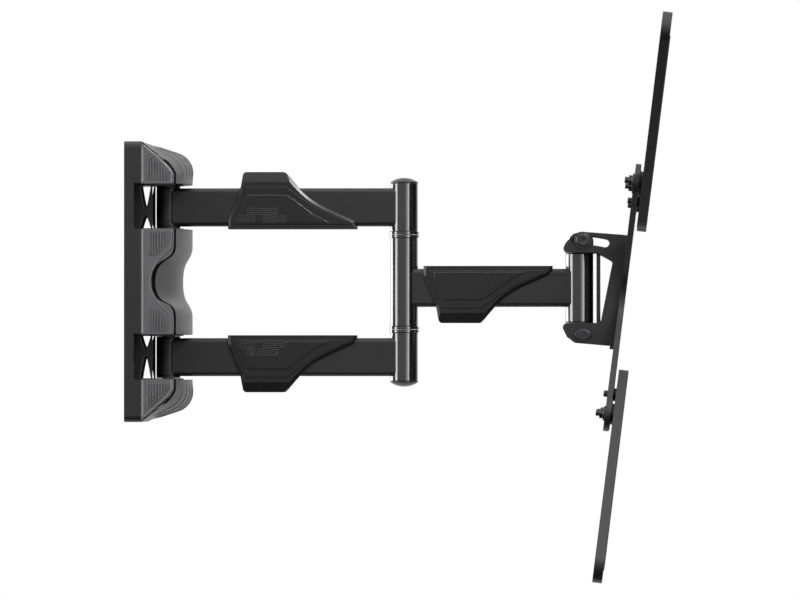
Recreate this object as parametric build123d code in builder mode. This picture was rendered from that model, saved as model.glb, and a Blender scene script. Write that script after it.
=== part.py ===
"""Full motion television wall mount: wall bracket, double rear arm, front arm, swivel yoke and tilting head.

Millimetres. The origin is the middle of the wall plate's back face. +X points away from the wall, +Y is
sideways along the wall and +Z is up. The mount is drawn fully stretched out, with the screen plate leaning
forward by the rest tilt.
"""

import os
from math import cos, radians, sin, sqrt

from build123d import *

# Wall plate: a pressed steel pan that opens away from the wall
plate_height = 220.0
plate_width = 98.0
plate_sheet = 2.5
plate_corner = 5.0
flange_depth = 13.5
notch_depth = 6.0
notch_margin = 3.0
wall_slot_length = 20.0
wall_slot_width = 8.5
wall_slot_spread_y = 52.0
wall_slot_edge = 15.0
stud_hole_diameter = 8.5

# Arm tubes and the round tubes that they are welded to
arm_height = 30.0
arm_width = 18.0
arm_wall = 2.0
arm_corner = 3.5
rear_arm_z = 59.0
rear_arm_length = 186.0
front_arm_z = -4.5
front_arm_length = 138.0
tube_diameter = 22.0
tube_wall = 2.5
knuckle_diameter = 18.8
knuckle_wall = 2.5

# Pivots: bolts, bushes and the clearances between them
pivot_x = 32.0
pin_diameter = 10.0
running_clearance = 0.05
running_gap = 0.2
sliding_gap = 0.1
press_clearance = 0.02
bush_flange = 1.5
bush_length = 10.0
washer_thickness = 1.5
washer_diameter = 20.0
pivot_hex_flats = 16.0
pivot_head_height = 6.4
pivot_nut_height = 8.0
thread_end = 1.0

# Pivot brackets on the wall plate
ear_sheet = 4.0
ear_radius = 12.0
bracket_width = 44.0
cheek_sheet = 3.0
cheek_arm_gap = 2.4
window_left = 8.3
window_edge = 1.2
window_tip_gap = 5.2
window_shift = 4.0
window_waist = 0.64

# Plastic covers of the wall plate
cover_wall = 2.0
cover_clearance = 0.5
cover_side_front = 39.0
cover_ridge_front = 51.0
cover_shoulder = 8.0
seam_width = 2.4
seam_depth = 1.2
seam_edge = 1.0
cover_side_knee = (31.0, 15.2)
cover_ridge_knee = (40.0, 8.6)
dip_side_front = 21.5
dip_ridge_front = 43.6
dip_half_height = 28.0
dip_quarter_share = 0.29

# Column between the rear and the front arm
ring_proud = 0.8
ring_flange = 2.25
middle_tube_half = 35.0
column_overhang = 4.0
column_cap_rim = 0.8
column_cap_height = 4.3
column_cap_stem = 2.5
column_head_clearance = 0.5
column_head_height = 9.0
column_head_depth = 13.0
column_socket_flats = 8.0
column_socket_depth = 5.0
tube_end_chamfer = 0.5

# Clip-on cable covers, the same moulding on all three arms
hood_wall = 2.0
hood_fit = 0.2
hood_lip = 3.0
hood_rise = 12.7
hood_length = 101.5
hood_foot_end = 1.5
hood_heel = 7.6
hood_shoulder = (9.7, 0.8)
hood_crown_start = 12.2
hood_crown_end = 45.0
hood_brow_start = (1.0, -1.2)
hood_bend = (64.0, 7.5)
hood_nose = (99.0, 25.5)
hood_brow_end = (1.0, -0.5)
hood_corner = 3.0
hood_bevel_width = 2.2
hood_bevel_depth = 1.2
hood_slope_height = 7.9
hood_slope_depth = 1.6
rear_hood_start = 47.5
front_hood_start = 15.5

# Head knuckle and swivel yoke
head_knuckle_length = 54.0
yoke_sheet = 3.0
yoke_ear_sheet = 3.0
yoke_width = 40.0
yoke_web_gap = 2.5
yoke_ear_back = 12.0
yoke_ear_corner = 8.0
yoke_cheek_front = 11.0
yoke_cheek_back = 8.0
yoke_cheek_rise = 9.5
yoke_cheek_corner = 4.0

# Tilt joint
rest_tilt = 7.1
tilt_down = 3.0
tilt_up = 12.0
slot_spare = 1.5
tilt_pivot_ahead = 3.0
tilt_pivot_below = 37.0
tilt_lock_above = 37.0
tilt_pin_diameter = 6.0
tilt_head_length = 13.0
tilt_head_width = 9.4
tilt_head_height = 3.0
tilt_head_round = 1.2
tilt_nut_flats = 10.0
tilt_nut_height = 5.0
lock_diameter = 6.0
lock_slot_clearance = 0.4
lock_flange_diameter = 13.6
lock_flange_height = 1.3
lock_button_diameter = 10.5
lock_button_height = 2.0
lock_button_round = 1.0
lock_socket_flats = 4.0
lock_socket_depth = 2.2
lock_nut_flats = 10.0
lock_nut_height = 5.0
friction_washer = 1.0
friction_washer_diameter = 12.0
hole_clearance = 0.1

# Tilt bracket
bracket_sheet = 3.0
bracket_web_gap = 8.5
bracket_top = 7.7
bracket_bottom = 8.5
bracket_corner = 3.0
upper_jaw_tip = (-24.8, -11.8)
upper_jaw_temple = (-22.6, -4.6)
upper_jaw_brow = (-17.6, 3.4)
upper_jaw_crest = (-11.5, 6.1)
upper_jaw_mouth = (3.2, -9.0)
jaw_window_top = (16.0, -14.0)
jaw_window_bottom = (12.5, 11.0)
lower_jaw_tip = (-18.1, 6.5)
lower_jaw_cheek = (-15.5, 1.6)
lower_jaw_chin = (-12.0, -3.7)
lower_jaw_heel = (-6.0, -7.0)
lower_jaw_root = 6.0
rivet_diameter = 6.0
rivet_head_diameter = 10.0
rivet_head_height = 2.0
rivet_head_round = 1.2
rivet_tail_diameter = 8.0
rivet_tail_height = 1.0
rivet_spread_y = 32.0
rivet_spread_z = 50.0

# Screen plate and its extension arms
screen_sheet = 2.5
screen_lip = 4.4
screen_centre = 32.0
limb_width = 27.0
limb_reach = 128.7
limb_inner_fillet = 26.0
vesa_small = 75.0
vesa_medium = 100.0
vesa_large = 400.0
vesa_hole_diameter = 5.0
vesa_large_hole_diameter = 8.4
spacer_height = 4.0
spacer_diameter = 16.0
extension_width = 26.0
extension_sheet = 2.2
extension_depth = 7.5
extension_inner = 97.0
extension_outer = 291.5
extension_slot_start = 152.0
extension_slot_end = 266.0
extension_bolt_diameter = 5.0
extension_head_diameter = 9.5
extension_head_height = 3.0
extension_head_round = 1.4
extension_nut_flats = 8.0
extension_nut_height = 2.8
extension_nut_flange = 11.2
extension_nut_flange_height = 1.4
extension_bolt_tail = 3.0
locating_reach = 107.0
locating_diameter = 3.0
locating_head_diameter = 5.0
locating_head_height = 3.2
locating_head_round = 0.8
locating_spacer_diameter = 10.0
locating_tail = 1.0

# Places worked out from the sizes above
column_x = pivot_x + rear_arm_length
head_x = column_x + front_arm_length
tube_radius = tube_diameter / 2
tube_bore = tube_radius - tube_wall
knuckle_radius = knuckle_diameter / 2
knuckle_bore = knuckle_radius - knuckle_wall
ring_radius = tube_radius + ring_proud
column_head_radius = tube_bore - column_head_clearance
pin_radius = pin_diameter / 2
running_bore = pin_radius + running_clearance
ear_inner = arm_height / 2 + bush_flange + running_gap
cheek_front = pivot_x - arm_width / 2 - cheek_arm_gap
cover_edge = arm_height / 2 + hood_fit + hood_wall + cover_clearance
cover_half = plate_width / 2
cover_inner_half = cover_half - cover_wall
ring_inner = middle_tube_half + ring_flange
column_tube_start = ring_inner + running_gap + ring_flange
column_tube_end = rear_arm_z + arm_height / 2 + column_overhang
yoke_ear_inner = head_knuckle_length / 2 + bush_flange + running_gap
yoke_ear_outer = yoke_ear_inner + yoke_ear_sheet
yoke_web_back = tube_radius + yoke_web_gap
yoke_web_front = yoke_web_back + yoke_sheet
bracket_face = yoke_web_front + bracket_web_gap - tilt_pivot_ahead
tilt_axis = Vector(head_x + tilt_pivot_ahead, 0, front_arm_z - tilt_pivot_below)
lock_axis = Vector(head_x + tilt_pivot_ahead, 0, front_arm_z + tilt_lock_above)
lock_reach = tilt_pivot_below + tilt_lock_above
side_plate_inner = yoke_width / 2 + friction_washer + sliding_gap
side_plate_outer = side_plate_inner + bracket_sheet
screen_back = bracket_face + bracket_sheet
screen_front = screen_back + screen_sheet
extension_back = screen_front + spacer_height
extension_front = extension_back + extension_sheet
forward = Vector(cos(radians(rest_tilt)), 0, -sin(radians(rest_tilt)))
upward = Vector(sin(radians(rest_tilt)), 0, cos(radians(rest_tilt)))
forward_axis = Axis((0, 0, 0), forward)

os.makedirs("parts", exist_ok=True)


def save(piece, name):
    """Label a finished piece and write it under its node's name."""
    piece.part.label = name
    export_step(piece.part, f"parts/{name}.step")


def level(x, z):
    """A horizontal plane at a height, centred on a vertical axis at x."""
    return Plane(origin=(x, 0, z))


def sideways(centre, offset, side):
    """An upright plane facing outwards on one side of the mount, at an offset from the middle."""
    place = centre + Vector(0, side * offset, 0)
    return Plane(origin=place, x_dir=(1, 0, 0), z_dir=(0, side, 0))


def leaning_side(offset):
    """The tilt head's own upright plane at a sideways offset: x forward and y up in the tilted head."""
    return Plane(origin=tilt_axis + Vector(0, offset, 0), x_dir=forward, z_dir=(0, -1, 0))


def leaning_face(reach, point=(0, 0)):
    """The tilt head's own plane that faces the screen, at a reach ahead of the tilt axis."""
    middle = tilt_axis + forward * reach + Vector(0, point[0], 0) + upward * point[1]
    return Plane(origin=middle, x_dir=(0, 1, 0), z_dir=forward)


def disc(plane, radius, height, mode=Mode.ADD):
    """A round disc or shaft on a plane."""
    with BuildSketch(plane) as profile:
        Circle(radius)
    extrude(profile.sketch, amount=height, mode=mode)


def ring(plane, outer, inner, height):
    """A round ring on a plane."""
    with BuildSketch(plane) as profile:
        Circle(outer)
        Circle(inner, mode=Mode.SUBTRACT)
    extrude(profile.sketch, amount=height)


def hexagon(plane, flats, height, mode=Mode.ADD):
    """A hexagonal prism on a plane, by its width across flats."""
    with BuildSketch(plane) as profile:
        RegularPolygon(flats / 2, 6, major_radius=False)
    extrude(profile.sketch, amount=height, mode=mode)


def hex_nut(plane, flats, bore, height):
    """A hexagonal nut on a plane."""
    with BuildSketch(plane) as profile:
        RegularPolygon(flats / 2, 6, major_radius=False)
        Circle(bore, mode=Mode.SUBTRACT)
    extrude(profile.sketch, amount=height)


def along(reach, across, up):
    """The point on one of the screen plate's diagonals at a distance from its centre."""
    step = reach / sqrt(2)
    return (across * step, screen_centre + up * step)


def diagonal(reach):
    """The four points on the screen plate's diagonals at a distance from its centre."""
    return [along(reach, across, up) for across in (-1, 1) for up in (-1, 1)]


# Wall plate
with BuildPart() as wall_plate:
    with BuildSketch(Plane.YZ):
        RectangleRounded(plate_width, plate_height, plate_corner)
    extrude(amount=flange_depth)
    with BuildSketch(Plane.YZ.offset(plate_sheet)):
        RectangleRounded(
            plate_width - 2 * plate_sheet, plate_height - 2 * plate_sheet, plate_corner - plate_sheet
        )
    extrude(amount=flange_depth, mode=Mode.SUBTRACT)
    with BuildSketch(Plane.YZ.offset(flange_depth - notch_depth)):
        with Locations((0, rear_arm_z), (0, -rear_arm_z)):
            Rectangle(2 * plate_width, arm_height + 2 * notch_margin)
    extrude(amount=notch_depth, mode=Mode.SUBTRACT)
    with BuildSketch(Plane.YZ):
        with GridLocations(wall_slot_spread_y, plate_height - 2 * wall_slot_edge, 2, 2):
            SlotOverall(wall_slot_length, wall_slot_width)
        with GridLocations(0, plate_height - 2 * wall_slot_edge, 1, 2):
            Circle(stud_hole_diameter / 2)
    extrude(amount=plate_sheet, mode=Mode.SUBTRACT)
save(wall_plate, "wall_plate")

# Pivot brackets: a web on the wall plate, two ears and two cheeks with X windows
window_back = plate_sheet + window_left
window_front = cheek_front - window_edge
window_middle = (window_back + window_front) / 2
window_half = (window_front - window_back) / 2
for where, centre, inwards in (("upper", rear_arm_z, 1), ("lower", -rear_arm_z, -1)):
    with BuildPart() as pivot_bracket:
        with BuildSketch(Plane.YZ.offset(plate_sheet)):
            with Locations((0, centre)):
                Rectangle(bracket_width, 2 * (ear_inner + ear_sheet))
        extrude(amount=cheek_sheet)
        for side in (-1, 1):
            with BuildSketch(level(0, centre + side * ear_inner)):
                with Locations((plate_sheet + cheek_sheet / 2, 0)):
                    Rectangle(cheek_sheet, bracket_width)
                with Locations((pivot_x, 0)):
                    Circle(ear_radius)
                make_hull()
                with Locations(((plate_sheet + cheek_front) / 2, 0)):
                    Rectangle(cheek_front - plate_sheet, bracket_width)
                with Locations((pivot_x, 0)):
                    Circle(running_bore, mode=Mode.SUBTRACT)
            extrude(amount=side * ear_sheet)
        for side in (-1, 1):
            with BuildSketch(sideways(Vector(0, 0, centre), bracket_width / 2, side)):
                with Locations(((plate_sheet + cheek_front) / 2, 0)):
                    Rectangle(cheek_front - plate_sheet, 2 * ear_inner)
                for end in (-1, 1):
                    tip = side * inwards * window_shift + end * window_tip_gap / 2
                    waist = (tip + end * ear_inner) / 2
                    with BuildLine():
                        edge = Spline(
                            (window_middle - window_half, end * ear_inner),
                            (window_middle - window_waist * window_half, waist),
                            (window_middle, tip),
                            (window_middle + window_waist * window_half, waist),
                            (window_middle + window_half, end * ear_inner),
                        )
                        Line(edge @ 1, edge @ 0)
                    make_face(mode=Mode.SUBTRACT)
            extrude(amount=-cheek_sheet)
    save(pivot_bracket, f"{where}_pivot_bracket")


def pivot_bolt(x, centre, grip):
    """A hexagon headed bolt down a vertical pivot; grip is half the distance between the ears' outsides."""
    head_seat = centre + grip + washer_thickness
    tail = centre - grip - washer_thickness - pivot_nut_height - thread_end
    disc(level(x, tail), pin_radius, head_seat - tail)
    hexagon(level(x, head_seat), pivot_hex_flats, pivot_head_height)


def pivot_nut(x, centre, grip):
    """The nut under a vertical pivot."""
    seat = centre - grip - washer_thickness
    hex_nut(level(x, seat), pivot_hex_flats, running_bore, -pivot_nut_height)


def pivot_washers(x, centre, grip):
    """The washers under a vertical pivot's head and nut."""
    for side in (-1, 1):
        ring(level(x, centre + side * grip), washer_diameter / 2, running_bore, side * washer_thickness)


# Wall pivot bolts, nuts and washers, one set at each pivot bracket
wall_grip = ear_inner + ear_sheet
with BuildPart() as wall_pivot_bolts:
    for centre in (rear_arm_z, -rear_arm_z):
        pivot_bolt(pivot_x, centre, wall_grip)
save(wall_pivot_bolts, "wall_pivot_bolts")

with BuildPart() as wall_pivot_nuts:
    for centre in (rear_arm_z, -rear_arm_z):
        pivot_nut(pivot_x, centre, wall_grip)
save(wall_pivot_nuts, "wall_pivot_nuts")

with BuildPart() as wall_pivot_washers:
    for centre in (rear_arm_z, -rear_arm_z):
        pivot_washers(pivot_x, centre, wall_grip)
save(wall_pivot_washers, "wall_pivot_washers")


def end_cover_section(offset, front, knee, inset, spare):
    """A section of the top cover: a slope from the plate's edge, a rounded shoulder and a straight front."""
    top = plate_height / 2 - inset
    foot = rear_arm_z + cover_edge
    back = flange_depth - spare
    with BuildSketch(Plane.XZ.offset(offset)) as section:
        with BuildLine():
            slope = Line((back, top), (knee[0] - inset, top - knee[1]))
            shoulder = TangentArc(slope @ 1, (front - inset, foot + cover_shoulder), tangent=slope % 1)
            Polyline(
                shoulder @ 1,
                (front - inset, foot - spare),
                (back, foot - spare),
                slope @ 0,
            )
        make_face()
    return section.sketch


def middle_cover_section(offset, front, dip, inset, spare):
    """A section of the middle cover: straight ends and a dip that makes room for the folded front arm."""
    half = rear_arm_z - cover_edge + spare
    back = flange_depth - spare
    quarter = dip + dip_quarter_share * (front - dip)
    with BuildSketch(Plane.XZ.offset(offset)) as section:
        with BuildLine():
            hollow = Spline(
                (front - inset, dip_half_height),
                (quarter - inset, dip_half_height / 2),
                (dip - inset, 0),
                (quarter - inset, -dip_half_height / 2),
                (front - inset, -dip_half_height),
                tangents=((0, -1), (0, -1)),
            )
            Polyline(
                hollow @ 1,
                (front - inset, -half),
                (back, -half),
                (back, half),
                (front - inset, half),
                hollow @ 0,
            )
        make_face()
    return section.sketch


def crowned(section, side_sizes, ridge_sizes, half, inset, spare, mode):
    """Loft one side's section over the ridge in the middle to the other side's."""
    places = ((-half, side_sizes), (0, ridge_sizes), (half, side_sizes))
    loft([section(offset, *sizes, inset, spare) for offset, sizes in places], mode=mode)


def seamed(section, side_sizes, ridge_sizes):
    """Cut the groove that runs between a cover's cheeks and its front."""
    with BuildPart(mode=Mode.PRIVATE) as groove:
        crowned(section, side_sizes, ridge_sizes, cover_half, 0, seam_depth, Mode.ADD)
        crowned(section, side_sizes, ridge_sizes, cover_half, seam_depth, 2 * seam_depth, Mode.SUBTRACT)
        with BuildSketch(Plane.XY.offset(-plate_height)) as strips:
            for hand in (-1, 1):
                with Locations((0, hand * (cover_half - seam_edge - seam_width / 2))):
                    Rectangle(2 * cover_ridge_front, seam_width)
        extrude(strips.sketch, amount=2 * plate_height, mode=Mode.INTERSECT)
    add(groove.part, mode=Mode.SUBTRACT)


# Plastic covers: crowned shells that stand on the wall plate's flanges
end_side = (cover_side_front, cover_side_knee)
end_ridge = (cover_ridge_front, cover_ridge_knee)
with BuildPart() as top_cover:
    crowned(end_cover_section, end_side, end_ridge, cover_half, 0, 0, Mode.ADD)
    hollow = (cover_inner_half, cover_wall, cover_wall)
    crowned(end_cover_section, end_side, end_ridge, *hollow, Mode.SUBTRACT)
    seamed(end_cover_section, end_side, end_ridge)
save(top_cover, "top_cover")

with BuildPart() as bottom_cover:
    mirror(top_cover.part, about=Plane.XY)
save(bottom_cover, "bottom_cover")

middle_side = (cover_side_front, dip_side_front)
middle_ridge = (cover_ridge_front, dip_ridge_front)
with BuildPart() as middle_cover:
    crowned(middle_cover_section, middle_side, middle_ridge, cover_half, 0, 0, Mode.ADD)
    hollow = (cover_inner_half, cover_wall, cover_wall)
    crowned(middle_cover_section, middle_side, middle_ridge, *hollow, Mode.SUBTRACT)
    seamed(middle_cover_section, middle_side, middle_ridge)
save(middle_cover, "middle_cover")


def arm_tube(start_x, length, z, start_radius):
    """A rectangular tube between two round tubes, with both ends cut to fit round them."""
    with BuildSketch(Plane.YZ.offset(start_x)) as profile:
        with Locations((0, z)):
            RectangleRounded(arm_width, arm_height, arm_corner)
            RectangleRounded(
                arm_width - 2 * arm_wall, arm_height - 2 * arm_wall, arm_corner - arm_wall, mode=Mode.SUBTRACT
            )
    extrude(profile.sketch, amount=length)
    for x, radius in ((start_x, start_radius), (start_x + length, tube_radius)):
        disc(level(x, z - arm_height), radius, 2 * arm_height, Mode.SUBTRACT)


def round_tube(x, low, high, outer, inner):
    """A round tube on a vertical axis with a small chamfer at each end."""
    ring(level(x, low), outer, inner, high - low)
    rims = edges().filter_by(GeomType.CIRCLE).filter_by(lambda rim: rim.radius > (outer + inner) / 2)
    chamfer(rims, tube_end_chamfer)


def flanged_bush(x, mouth, side, bore, rim, rim_height):
    """A bush pressed into a tube's mouth, with a flange outside it; side says which way the mouth faces."""
    ring(level(x, mouth), bore - press_clearance, running_bore, -side * bush_length)
    ring(level(x, mouth), rim, running_bore, side * rim_height)


# Rear arms, with the round tubes welded to their ends
for where, centre in (("upper", rear_arm_z), ("lower", -rear_arm_z)):
    with BuildPart() as rear_arm:
        arm_tube(pivot_x, rear_arm_length, centre, knuckle_radius)
    save(rear_arm, f"{where}_rear_arm")

    with BuildPart() as wall_knuckle:
        ends = (centre - arm_height / 2, centre + arm_height / 2)
        round_tube(pivot_x, *ends, knuckle_radius, knuckle_bore)
    save(wall_knuckle, f"{where}_wall_knuckle")

    with BuildPart() as wall_bushes:
        for side in (-1, 1):
            mouth = centre + side * arm_height / 2
            flanged_bush(pivot_x, mouth, side, knuckle_bore, knuckle_radius, bush_flange)
    save(wall_bushes, f"{where}_wall_bushes")

# Column tubes of the rear arm, their bushes and caps
column_head_seat = column_tube_end - column_head_depth
for where, side in (("upper", 1), ("lower", -1)):
    with BuildPart() as column_tube:
        ends = sorted((side * column_tube_start, side * column_tube_end))
        round_tube(column_x, *ends, tube_radius, tube_bore)
    save(column_tube, f"{where}_column_tube")

    with BuildPart() as column_bushes:
        flanged_bush(column_x, side * column_tube_start, -side, tube_bore, ring_radius, ring_flange)
        inner_seat = side * (column_head_seat - washer_thickness)
        ring(level(column_x, inner_seat), tube_bore - press_clearance, running_bore, -side * bush_length)
    save(column_bushes, f"{where}_column_bushes")

cap_bulge = column_cap_height - column_cap_rim
cap_arc_radius = (tube_radius**2 + cap_bulge**2) / (2 * cap_bulge)
for where, side in (("top", 1), ("bottom", -1)):
    with BuildPart() as column_cap:
        with BuildSketch(Plane.XZ.move(Location((column_x, 0, 0)))) as dome:
            with BuildLine():
                rim = Polyline(
                    (0, side * column_tube_end),
                    (tube_radius, side * column_tube_end),
                    (tube_radius, side * (column_tube_end + column_cap_rim)),
                )
                crown = (0, side * (column_tube_end + column_cap_height))
                arc = RadiusArc(rim @ 1, crown, -side * cap_arc_radius)
                Line(arc @ 1, rim @ 0)
            make_face()
        revolve(dome.sketch, axis=Axis((column_x, 0, 0), (0, 0, 1)))
        stem = tube_bore - press_clearance
        disc(level(column_x, side * column_tube_end), stem, -side * column_cap_stem)
    save(column_cap, f"column_{where}_cap")

# Column bolt with a round socket head, its round nut and the washers under them
with BuildPart() as column_bolt:
    tail = -column_head_seat - column_head_height
    disc(level(column_x, tail), pin_radius, column_head_seat - tail)
    disc(level(column_x, column_head_seat), column_head_radius, column_head_height)
    socket_top = column_head_seat + column_head_height
    hexagon(level(column_x, socket_top), column_socket_flats, -column_socket_depth, Mode.SUBTRACT)
save(column_bolt, "column_bolt")

with BuildPart() as column_nut:
    ring(level(column_x, -column_head_seat), column_head_radius, running_bore, -column_head_height)
save(column_nut, "column_nut")

with BuildPart() as column_washers:
    for side in (-1, 1):
        seat = side * column_head_seat
        ring(level(column_x, seat), column_head_radius, running_bore, -side * washer_thickness)
save(column_washers, "column_washers")

# Front arm with its column tube, its head knuckle and their bushes
with BuildPart() as front_arm:
    arm_tube(column_x, front_arm_length, front_arm_z, tube_radius)
save(front_arm, "front_arm")

with BuildPart() as middle_column_tube:
    round_tube(column_x, -middle_tube_half, middle_tube_half, tube_radius, tube_bore)
save(middle_column_tube, "middle_column_tube")

with BuildPart() as middle_column_bushes:
    for side in (-1, 1):
        flanged_bush(column_x, side * middle_tube_half, side, tube_bore, ring_radius, ring_flange)
save(middle_column_bushes, "middle_column_bushes")

head_half = head_knuckle_length / 2
with BuildPart() as head_knuckle:
    round_tube(head_x, front_arm_z - head_half, front_arm_z + head_half, tube_radius, tube_bore)
save(head_knuckle, "head_knuckle")

with BuildPart() as head_bushes:
    for side in (-1, 1):
        flanged_bush(head_x, front_arm_z + side * head_half, side, tube_bore, tube_radius, bush_flange)
save(head_bushes, "head_bushes")


def below_edge(point):
    """A point of a cable cover's outline, given by its drop below the arm's outer edge."""
    return (point[0], arm_height / 2 - point[1])


def cable_cover(start_x, arm_z, side):
    """A moulding that clips over an arm and leaves a cable duct on one side of it, above or below."""
    half = arm_height / 2
    foot = -half - hood_fit - hood_wall
    crown = half + hood_rise
    inner = arm_width / 2 + hood_fit
    with BuildSketch(Plane(origin=(start_x, 0, arm_z), x_dir=(1, 0, 0), z_dir=(0, -side, 0))) as outline:
        with BuildLine():
            roof = Polyline(
                (0, foot),
                (0, foot + hood_heel),
                below_edge(hood_shoulder),
                (hood_crown_start, crown),
                (hood_crown_end, crown),
            )
            bend = below_edge(hood_bend)
            brow = Spline(roof @ 1, bend, below_edge(hood_nose), tangents=(hood_brow_start, hood_brow_end))
            Polyline(brow @ 1, (hood_length, foot + hood_foot_end), (hood_length, foot), roof @ 0)
        make_face()
        fillet(vertices().group_by(Axis.Y)[-1], hood_corner)
    extrude(outline.sketch, amount=inner + hood_wall, both=True)
    bevel_foot = side * arm_z + foot + 2 * hood_foot_end
    for cheek in faces().sort_by(Axis.Y)[:: len(faces()) - 1]:
        rim = cheek.edges().filter_by(lambda edge: max(side * v.Z for v in edge.vertices()) > bevel_foot)
        chamfer(rim, hood_bevel_width, hood_bevel_depth, reference=cheek)
    cheek = inner + hood_wall
    with BuildSketch(Plane(origin=(start_x, 0, arm_z), x_dir=(0, side, 0), z_dir=(1, 0, 0))) as slopes:
        for hand in (-1, 1):
            with BuildLine():
                Polyline(
                    (hand * cheek, crown - hood_slope_height),
                    (hand * cheek, crown),
                    (hand * (cheek - hood_slope_depth), crown),
                    close=True,
                )
            make_face()
    extrude(slopes.sketch, amount=hood_length, mode=Mode.SUBTRACT)
    with BuildSketch(Plane(origin=(start_x, 0, arm_z), x_dir=(0, side, 0), z_dir=(1, 0, 0))) as tunnel:
        with Locations((0, (crown - hood_wall - half - hood_fit) / 2)):
            Rectangle(2 * inner, crown - hood_wall + half + hood_fit)
        with Locations((0, foot)):
            Rectangle(2 * (inner - hood_lip), 2 * hood_wall)
    extrude(tunnel.sketch, amount=hood_length, mode=Mode.SUBTRACT)


# Cable covers: above the upper arm, below the lower arm and below the front arm
for name, start_x, arm_z, side in (
    ("upper_cable_cover", pivot_x + rear_hood_start, rear_arm_z, 1),
    ("lower_cable_cover", pivot_x + rear_hood_start, -rear_arm_z, -1),
    ("front_cable_cover", column_x + front_hood_start, front_arm_z, -1),
):
    with BuildPart() as hood:
        cable_cover(start_x, arm_z, side)
    save(hood, name)

# Swivel yoke: a web, two ears round the head knuckle and four cheeks that carry the tilt bolts
with BuildPart() as tilt_yoke:
    with BuildSketch(Plane.YZ.offset(head_x + yoke_web_back)):
        with Locations((0, front_arm_z)):
            Rectangle(yoke_width, 2 * yoke_ear_outer)
    extrude(amount=yoke_sheet)
    for side in (-1, 1):
        with BuildSketch(level(head_x, front_arm_z + side * yoke_ear_inner)):
            with Locations(((yoke_web_front - yoke_ear_back) / 2, 0)):
                Rectangle(yoke_web_front + yoke_ear_back, yoke_width)
            fillet(vertices().group_by(Axis.X)[0], yoke_ear_corner)
            Circle(running_bore, mode=Mode.SUBTRACT)
        extrude(amount=side * yoke_ear_sheet)
    for side in (-1, 1):
        for end, bolt_z, bolt_radius in (
            (1, lock_axis.Z, lock_diameter / 2),
            (-1, tilt_axis.Z, tilt_pin_diameter / 2),
        ):
            low = front_arm_z + end * yoke_ear_inner
            high = front_arm_z + end * (yoke_ear_outer + yoke_cheek_rise)
            with BuildSketch(sideways(Vector(head_x, 0, 0), yoke_width / 2, side)):
                with Locations(((yoke_cheek_front - yoke_cheek_back) / 2, -side * (low + high) / 2)):
                    Rectangle(yoke_cheek_front + yoke_cheek_back, abs(high - low))
                fillet(vertices().group_by(Axis.Y)[-1 if side * end < 0 else 0], yoke_cheek_corner)
                with Locations((tilt_pivot_ahead, -side * bolt_z)):
                    Circle(bolt_radius + hole_clearance, mode=Mode.SUBTRACT)
            extrude(amount=-yoke_sheet)
save(tilt_yoke, "tilt_yoke")

# Swivel bolt, nut and washers through the yoke and the head knuckle
with BuildPart() as swivel_bolt:
    pivot_bolt(head_x, front_arm_z, yoke_ear_outer)
save(swivel_bolt, "swivel_bolt")

with BuildPart() as swivel_nut:
    pivot_nut(head_x, front_arm_z, yoke_ear_outer)
save(swivel_nut, "swivel_nut")

with BuildPart() as swivel_washers:
    pivot_washers(head_x, front_arm_z, yoke_ear_outer)
save(swivel_washers, "swivel_washers")

# Tilt pivot bolts with oval heads, and the flanged lock bolts that ride in the arc slots
bolt_seat = side_plate_outer + sliding_gap
cheek_inner = yoke_width / 2 - yoke_sheet
with BuildPart() as tilt_pivot_bolts:
    for side in (-1, 1):
        seat = sideways(tilt_axis, bolt_seat, side)
        disc(seat, tilt_pin_diameter / 2, cheek_inner - tilt_nut_height - bolt_seat)
        with BuildSketch(seat):
            Ellipse(tilt_head_length / 2, tilt_head_width / 2)
        extrude(amount=tilt_head_height)
        oval = faces().sort_by(Axis.Y)[-1 if side > 0 else 0]
        fillet(oval.edges(), tilt_head_round)
save(tilt_pivot_bolts, "tilt_pivot_bolts")

with BuildPart() as tilt_pivot_nuts:
    for side in (-1, 1):
        bore = tilt_pin_diameter / 2 + running_clearance
        hex_nut(sideways(tilt_axis, cheek_inner, side), tilt_nut_flats, bore, -tilt_nut_height)
save(tilt_pivot_nuts, "tilt_pivot_nuts")

with BuildPart() as tilt_lock_bolts:
    for side in (-1, 1):
        seat = sideways(lock_axis, bolt_seat, side)
        disc(seat, lock_diameter / 2, cheek_inner - lock_nut_height - bolt_seat)
        disc(seat, lock_flange_diameter / 2, lock_flange_height)
        disc(seat.offset(lock_flange_height), lock_button_diameter / 2, lock_button_height)
        button = faces().sort_by(Axis.Y)[-1 if side > 0 else 0]
        fillet(button.edges(), lock_button_round)
        socket = seat.offset(lock_flange_height + lock_button_height)
        hexagon(socket, lock_socket_flats, -lock_socket_depth, Mode.SUBTRACT)
save(tilt_lock_bolts, "tilt_lock_bolts")

with BuildPart() as tilt_lock_nuts:
    for side in (-1, 1):
        bore = lock_diameter / 2 + running_clearance
        hex_nut(sideways(lock_axis, cheek_inner, side), lock_nut_flats, bore, -lock_nut_height)
save(tilt_lock_nuts, "tilt_lock_nuts")

with BuildPart() as tilt_friction_washers:
    for side in (-1, 1):
        for axis, bolt_diameter in ((tilt_axis, tilt_pin_diameter), (lock_axis, lock_diameter)):
            bore = bolt_diameter / 2 + hole_clearance
            ring(sideways(axis, yoke_width / 2, side), friction_washer_diameter / 2, bore, friction_washer)
save(tilt_friction_washers, "tilt_friction_washers")


def above_slot(point):
    """A point of the upper jaw, given by its height from the arc slot's middle."""
    return (point[0], point[1] + lock_reach)


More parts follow.
